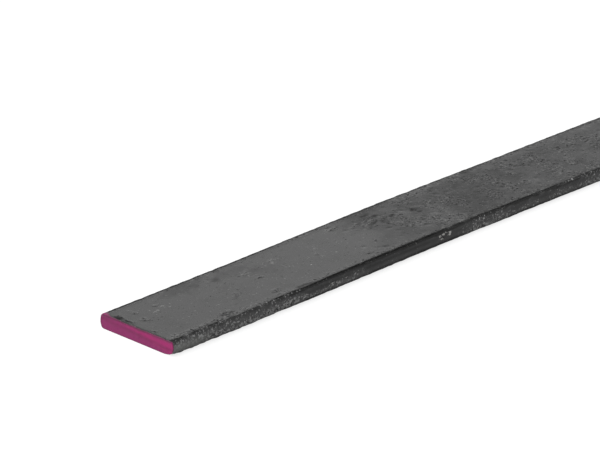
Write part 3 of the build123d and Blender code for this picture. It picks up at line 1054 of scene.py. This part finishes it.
def paint_unrolled(sheet, reach, quads, hem_count):
    """Texture coordinates of the coat's quads: its outside, its hem and its inside.

    The coat is laid flat round the end's outline, each lap turned outwards. The outside lies on
    two strips, its far half above its near half, and the inside is small and in one piece.
    """
    laid = sheet[:, 1:].copy()
    laid[: reach.size] += (reach[..., None] * ring_normals).reshape(-1, 2)
    half = HALF_WIDTH + PAINT_MARGINS[0]
    laid += [half, PAINT_MARGINS[1]]
    far_half = (laid[quads[:, 0], 0] > half)[:, None]
    outside = laid[quads]
    outside[..., 0] -= np.where(far_half, half - STRIP_OVERLAP, 0)
    outside[..., 1] += np.where(far_half, STRIP_RISE, 0)
    hem = np.tile(np.array(HEM_SQUARE, float), (hem_count, 1))
    inside = laid[quads[:, ::-1]] * INSIDE_SCALE + INSIDE_CORNER
    parts = (outside.reshape(-1, 2) * PAINT_SCALE, hem, inside.reshape(-1, 2))
    return np.concatenate(parts) / PAINT_MAP_SIZE


def paint_skin():
    """Points, quads, texture coordinates and share rubbed off of the coat, closed all round. The share
    also carries painted shade at the end's far and bottom borders.

    A sheet is laid on the bar's own surface from the end's grid, round the rim and along each
    point's lap. The outside stands off by the thickness, falling away towards the border by the
    root of a cube, and the inside is sunk a little into the steel.
    """
    share = np.linspace(0, 1, LAP_ROWS + 1)
    reach = paint_lap()[None] * share[:, None] ** 1.5
    short = np.maximum(BURR_RADIUS - reach, 0)
    shrink = BURR_RADIUS - np.sqrt(BURR_RADIUS**2 - short**2)
    walls = shaped(*carried(reach - HALF_LENGTH, -short / BURR_RADIUS, shrink))
    patch = end_patch(walls[0])
    patch[..., 0] += cut_relief(patch)
    sheet = np.concatenate([walls.reshape(-1, 3), patch[1:-1, 1:-1].reshape(-1, 3)])
    index = np.arange(reach.size).reshape(reach.shape)
    after = np.roll(index, -1, axis=1)
    quads = np.stack([index[:-1], after[:-1], after[1:], index[1:]], 2).reshape(-1, 4)
    quads = np.concatenate([quads, patch_faces(index[0], reach.size, -1)])

    stand_off = np.full(len(sheet), PAINT_THICKNESS)
    stand_off[: reach.size] = np.repeat(PAINT_THICKNESS * np.sqrt(1 - BORDER_SHARE * share**3), RING_COUNT)
    normals = facing(sheet, quads)
    outside = sheet + normals * stand_off[:, None]
    inside = sheet - normals * PAINT_BITE
    count = len(sheet)
    hem = np.stack([index[-1], after[-1], after[-1] + count, index[-1] + count], 1)
    faces = np.concatenate([quads, hem, quads[:, ::-1] + count])
    corner_map = paint_unrolled(sheet, reach, quads, len(hem))
    return np.concatenate([outside, inside]), faces, corner_map, np.tile(rubbed_off_and_shade(share, patch), 2)


paint_points, paint_faces, paint_map, paint_rubbed_and_shade = paint_skin()
paint = mesh_object("end_paint", paint_points, paint_faces, paint_map)
stored(paint, "rubbed_and_shade", paint_rubbed_and_shade)
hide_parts("flat_bar")
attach(paint, "root")

# Magenta marking paint: a quick-drying, heavily pigmented lacquer, brushed on in one stroke. It
# gives the eye an even satin magenta, darker in streaks where the brush drew it thin, and it lets
# the steel show through where it is rubbed off. A lighter band over the top of the end is a
# painted highlight, and a darker band halfway down is painted shade.
# The lighter colour is a painted highlight, and the darker one is partly painted shade.
HIGHLIGHT_COLOUR = "#ad2b71"
EVEN_COLOUR = "#962e6b"
THIN_AND_SHADE_COLOUR = "#84255a"
RUBBED_AND_SHADE_COLOURS = ("#752d54", "#5a3d4c")      # half rubbed off, also the painted shade at the borders, and rubbed off
STREAK_SIZE = 1.1                            # across the brush's stroke
STROKE = (1.0, 0.3, 1.0)                     # draws the streaks out along the stroke
MOTTLE_SIZE = 2.6
STREAK_HEIGHT = 0.03
# Lines across the end, as height at the middle and slope towards the far side, and the distances
# from each between which the painted highlight fades in and the painted shade fades out.
HIGHLIGHT_LINE, HIGHLIGHT_BORDER, HIGHLIGHT_MOTTLE = (2.4, 0.17), (-0.5, 0.6), 1.6
SHADE_LINE, SHADE_BORDER, SHADE_AT_LINE = (2.15, 0.05), (0.1, 0.75), 0.6
STREAK_RANGE, THIN_IN_STREAKS = (0.35, 0.75), 0.3
RUBBED_PATCHES = 1.2
RUBBED_RANGES = ((0.0, 0.6), (0.5, 1.0))

coat = new_material("magenta_marking_paint")
tree = coat.node_tree
where = add(tree, "ShaderNodeTexCoord").outputs["Object"]
mm = add(tree, "ShaderNodeVectorMath", {0: where, 3: 1 / MM}, operation="SCALE")
part = add(tree, "ShaderNodeSeparateXYZ", {0: mm}).outputs
stroke = add(tree, "ShaderNodeVectorMath", {0: mm, 1: STROKE}, operation="MULTIPLY")
streaks = add(tree, "ShaderNodeTexNoise",
              {"Vector": stroke, "Scale": 1 / STREAK_SIZE, "Detail": 3.0, "Roughness": 0.6})
mottle = add(tree, "ShaderNodeTexNoise",
             {"Vector": mm, "Scale": 1 / MOTTLE_SIZE, "Detail": 3.0, "Roughness": 0.55})

# Painted highlight: a lighter band over the land, with a mottled border that widens to the near
# side.
line = add(tree, "ShaderNodeMath", {0: part["Y"], 1: HIGHLIGHT_LINE[1], 2: HIGHLIGHT_LINE[0]},
           operation="MULTIPLY_ADD")
above = add(tree, "ShaderNodeMath", {0: part["Z"], 1: line}, operation="SUBTRACT")
mottled = add(tree, "ShaderNodeMath", {0: mottle, 1: MEAN_NOISE}, operation="SUBTRACT")
above = add(tree, "ShaderNodeMath", {0: mottled, 1: HIGHLIGHT_MOTTLE, 2: above}, operation="MULTIPLY_ADD")
highlight_band = add(tree, "ShaderNodeMapRange",
            {"Value": above, "From Min": HIGHLIGHT_BORDER[0], "From Max": HIGHLIGHT_BORDER[1]},
            interpolation_type="SMOOTHSTEP")
colour = add(tree, "ShaderNodeMix", {0: highlight_band, 6: linear(EVEN_COLOUR), 7: linear(HIGHLIGHT_COLOUR)},
             data_type="RGBA")

# Painted shade in a band halfway down, and streaks where the brush drew it thin.
line = add(tree, "ShaderNodeMath", {0: part["Y"], 1: SHADE_LINE[1], 2: SHADE_LINE[0]},
           operation="MULTIPLY_ADD")
from_line = add(tree, "ShaderNodeMath", {0: part["Z"], 1: line}, operation="SUBTRACT")
from_line = add(tree, "ShaderNodeMath", {0: from_line}, operation="ABSOLUTE")
thin_and_shade = add(tree, "ShaderNodeMapRange",
           {"Value": from_line, "From Min": SHADE_BORDER[0], "From Max": SHADE_BORDER[1],
            "To Min": SHADE_AT_LINE, "To Max": 0.0},
           interpolation_type="SMOOTHSTEP")
streaky = add(tree, "ShaderNodeMapRange",
              {"Value": streaks, "From Min": STREAK_RANGE[0], "From Max": STREAK_RANGE[1],
               "To Min": 0.0, "To Max": THIN_IN_STREAKS},
              interpolation_type="SMOOTHSTEP")
thin_and_shade = add(tree, "ShaderNodeMath", {0: thin_and_shade, 1: 1.0, 2: streaky}, operation="MULTIPLY_ADD")
colour = add(tree, "ShaderNodeMix", {0: thin_and_shade, 6: colour, 7: linear(THIN_AND_SHADE_COLOUR)}, data_type="RGBA")

# Towards the rim it thins out unevenly and is rubbed through to the dark steel. Its far and
# bottom borders on the end are darkened as painted shade.
patchy = add(tree, "ShaderNodeMath", {0: streaks, 1: MEAN_NOISE}, operation="SUBTRACT")
patchy = add(tree, "ShaderNodeMath", {0: patchy, 1: RUBBED_PATCHES}, operation="MULTIPLY")
rubbed_and_shade = add(tree, "ShaderNodeAttribute", attribute_name="rubbed_and_shade").outputs["Fac"]
rubbed_and_shade = add(tree, "ShaderNodeMath", {0: patchy, 1: rubbed_and_shade, 2: rubbed_and_shade}, operation="MULTIPLY_ADD")
for (start, full), over in zip(RUBBED_RANGES, RUBBED_AND_SHADE_COLOURS):
    share = add(tree, "ShaderNodeMapRange", {"Value": rubbed_and_shade, "From Min": start, "From Max": full},
                interpolation_type="SMOOTHSTEP")
    colour = add(tree, "ShaderNodeMix", {0: share, 6: colour, 7: linear(over)}, data_type="RGBA")

relief = add(tree, "ShaderNodeMath", {0: streaks, 1: STREAK_HEIGHT}, operation="MULTIPLY")
bump = add(tree, "ShaderNodeBump", {"Strength": 1.0, "Distance": MM, "Height": relief})
surface = add(tree, "ShaderNodeBsdfPrincipled",
              {"Base Color": colour, "Roughness": 0.5, "Specular IOR Level": 0.3, "Normal": bump})
add(tree, "ShaderNodeOutputMaterial", {"Surface": surface})
paint.data.materials.append(coat)

# ---------------------------------------------------------------------------------------------
# The studio: a floor of white paper, white surroundings with a dark card and a dimmer side, one
# wide soft light overhead, and the camera. None of it belongs to the bar.
# ---------------------------------------------------------------------------------------------
FLOOR_SIZE = 200.0
FLOOR_COLOUR = "#909090"
FLOOR_LIFT = 0.76            # a glow that only rays from the camera and reflections see
floor_mesh = bpy.data.meshes.new("floor")
half = FLOOR_SIZE / 2
floor_corners = [(-half, -half, 0), (half, -half, 0), (half, half, 0), (-half, half, 0)]
floor_mesh.from_pydata(floor_corners, [], [(0, 1, 2, 3)])
floor = bpy.data.objects.new("floor", floor_mesh)
bpy.context.scene.collection.objects.link(floor)

# White paper: matt and even, lit to pure white.
paper = new_material("white_paper_floor")
tree = paper.node_tree
diffuse = add(tree, "ShaderNodeBsdfDiffuse", {"Color": linear(FLOOR_COLOUR)})
ray = add(tree, "ShaderNodeLightPath").outputs
seen = add(tree, "ShaderNodeMath", {0: ray["Is Glossy Ray"], 1: ray["Is Transmission Ray"]},
           operation="MAXIMUM")
seen = add(tree, "ShaderNodeMath", {0: ray["Is Camera Ray"], 1: seen}, operation="MAXIMUM")
lift = add(tree, "ShaderNodeMath", {0: seen, 1: FLOOR_LIFT}, operation="MULTIPLY")
glow = add(tree, "ShaderNodeEmission", {"Color": (1, 1, 1, 1), "Strength": lift})
both = add(tree, "ShaderNodeAddShader", {0: diffuse, 1: glow})
add(tree, "ShaderNodeOutputMaterial", {"Surface": both})
floor_mesh.materials.append(paper)

# The surroundings are white but for a dark card high over the far end, which the near top corner
# mirrors, and a dimmer side to the right of the camera, which the near edge mirrors. Each is a
# direction, the cosines of the angles from it at which it starts and is full, and its light.
CARD = ((0.652, 0.04, 0.756), 0.80, 0.95, 0.0)
DIM_SIDE = ((0.62, -0.62, 0.48), 0.6, 0.8, 0.42)
world = bpy.data.worlds.new("studio")
bpy.context.scene.world = world
world.use_nodes = True
tree = world.node_tree
tree.nodes.clear()
direction = add(tree, "ShaderNodeTexCoord").outputs["Generated"]
shades = []
for middle, start, full, light in (CARD, DIM_SIDE):
    towards = add(tree, "ShaderNodeVectorMath", {0: direction, 1: middle}, operation="DOT_PRODUCT")
    shades.append(add(tree, "ShaderNodeMapRange",
                      {"Value": towards, "From Min": start, "From Max": full, "To Min": 1.0, "To Max": light},
                      interpolation_type="SMOOTHSTEP"))
strength = add(tree, "ShaderNodeMath", {0: shades[0], 1: shades[1]}, operation="MINIMUM")
sky = add(tree, "ShaderNodeBackground", {"Color": (1, 1, 1, 1), "Strength": strength})
add(tree, "ShaderNodeOutputWorld", {"Surface": sky})

SOFTBOX_ENERGY = 1.4
SOFTBOX_ANGLE = math.radians(60)
SOFTBOX_DIRECTION = Vector((-0.25, 0.15, 1.0))
softbox = bpy.data.lights.new("overhead_softbox", "SUN")
softbox.energy = SOFTBOX_ENERGY
softbox.angle = SOFTBOX_ANGLE
softbox_object = bpy.data.objects.new("overhead_softbox", softbox)
softbox_object.rotation_euler = SOFTBOX_DIRECTION.to_track_quat("Z", "Y").to_euler()
bpy.context.scene.collection.objects.link(softbox_object)

# The camera: its direction and its distance in metres from the point it aims at, and how far that
# point lies to the right of the bar's near bottom corner and above it in the camera's own view.
AZIMUTH = math.radians(-45.125)
ELEVATION = math.radians(22.962)
DISTANCE = 1.2147
AIM_RIGHT = 0.030005
AIM_UP = 0.03135
LENS = 308.0
SENSOR = 36.0
CLIP_START, CLIP_END = 0.05, 300.0
back = Vector((math.sin(AZIMUTH) * math.cos(ELEVATION),
               -math.cos(AZIMUTH) * math.cos(ELEVATION),
               math.sin(ELEVATION)))
right = Vector((math.cos(AZIMUTH), math.sin(AZIMUTH), 0.0))
near_corner = Vector((BAR_LOW.x, (bow(0) - HALF_WIDTH) * MM, BAR_LOW.z))
aim = near_corner + right * AIM_RIGHT + back.cross(right) * AIM_UP
camera = bpy.data.objects.new("camera", bpy.data.cameras.new("camera"))
camera.data.lens = LENS
camera.data.sensor_width = SENSOR
camera.data.clip_start = CLIP_START
camera.data.clip_end = CLIP_END
camera.location = aim + back * DISTANCE
camera.rotation_mode = "QUATERNION"
camera.rotation_quaternion = (-back).to_track_quat("-Z", "Y")
bpy.context.scene.collection.objects.link(camera)
bpy.context.scene.camera = camera

bpy.context.scene.view_settings.view_transform = "Standard"
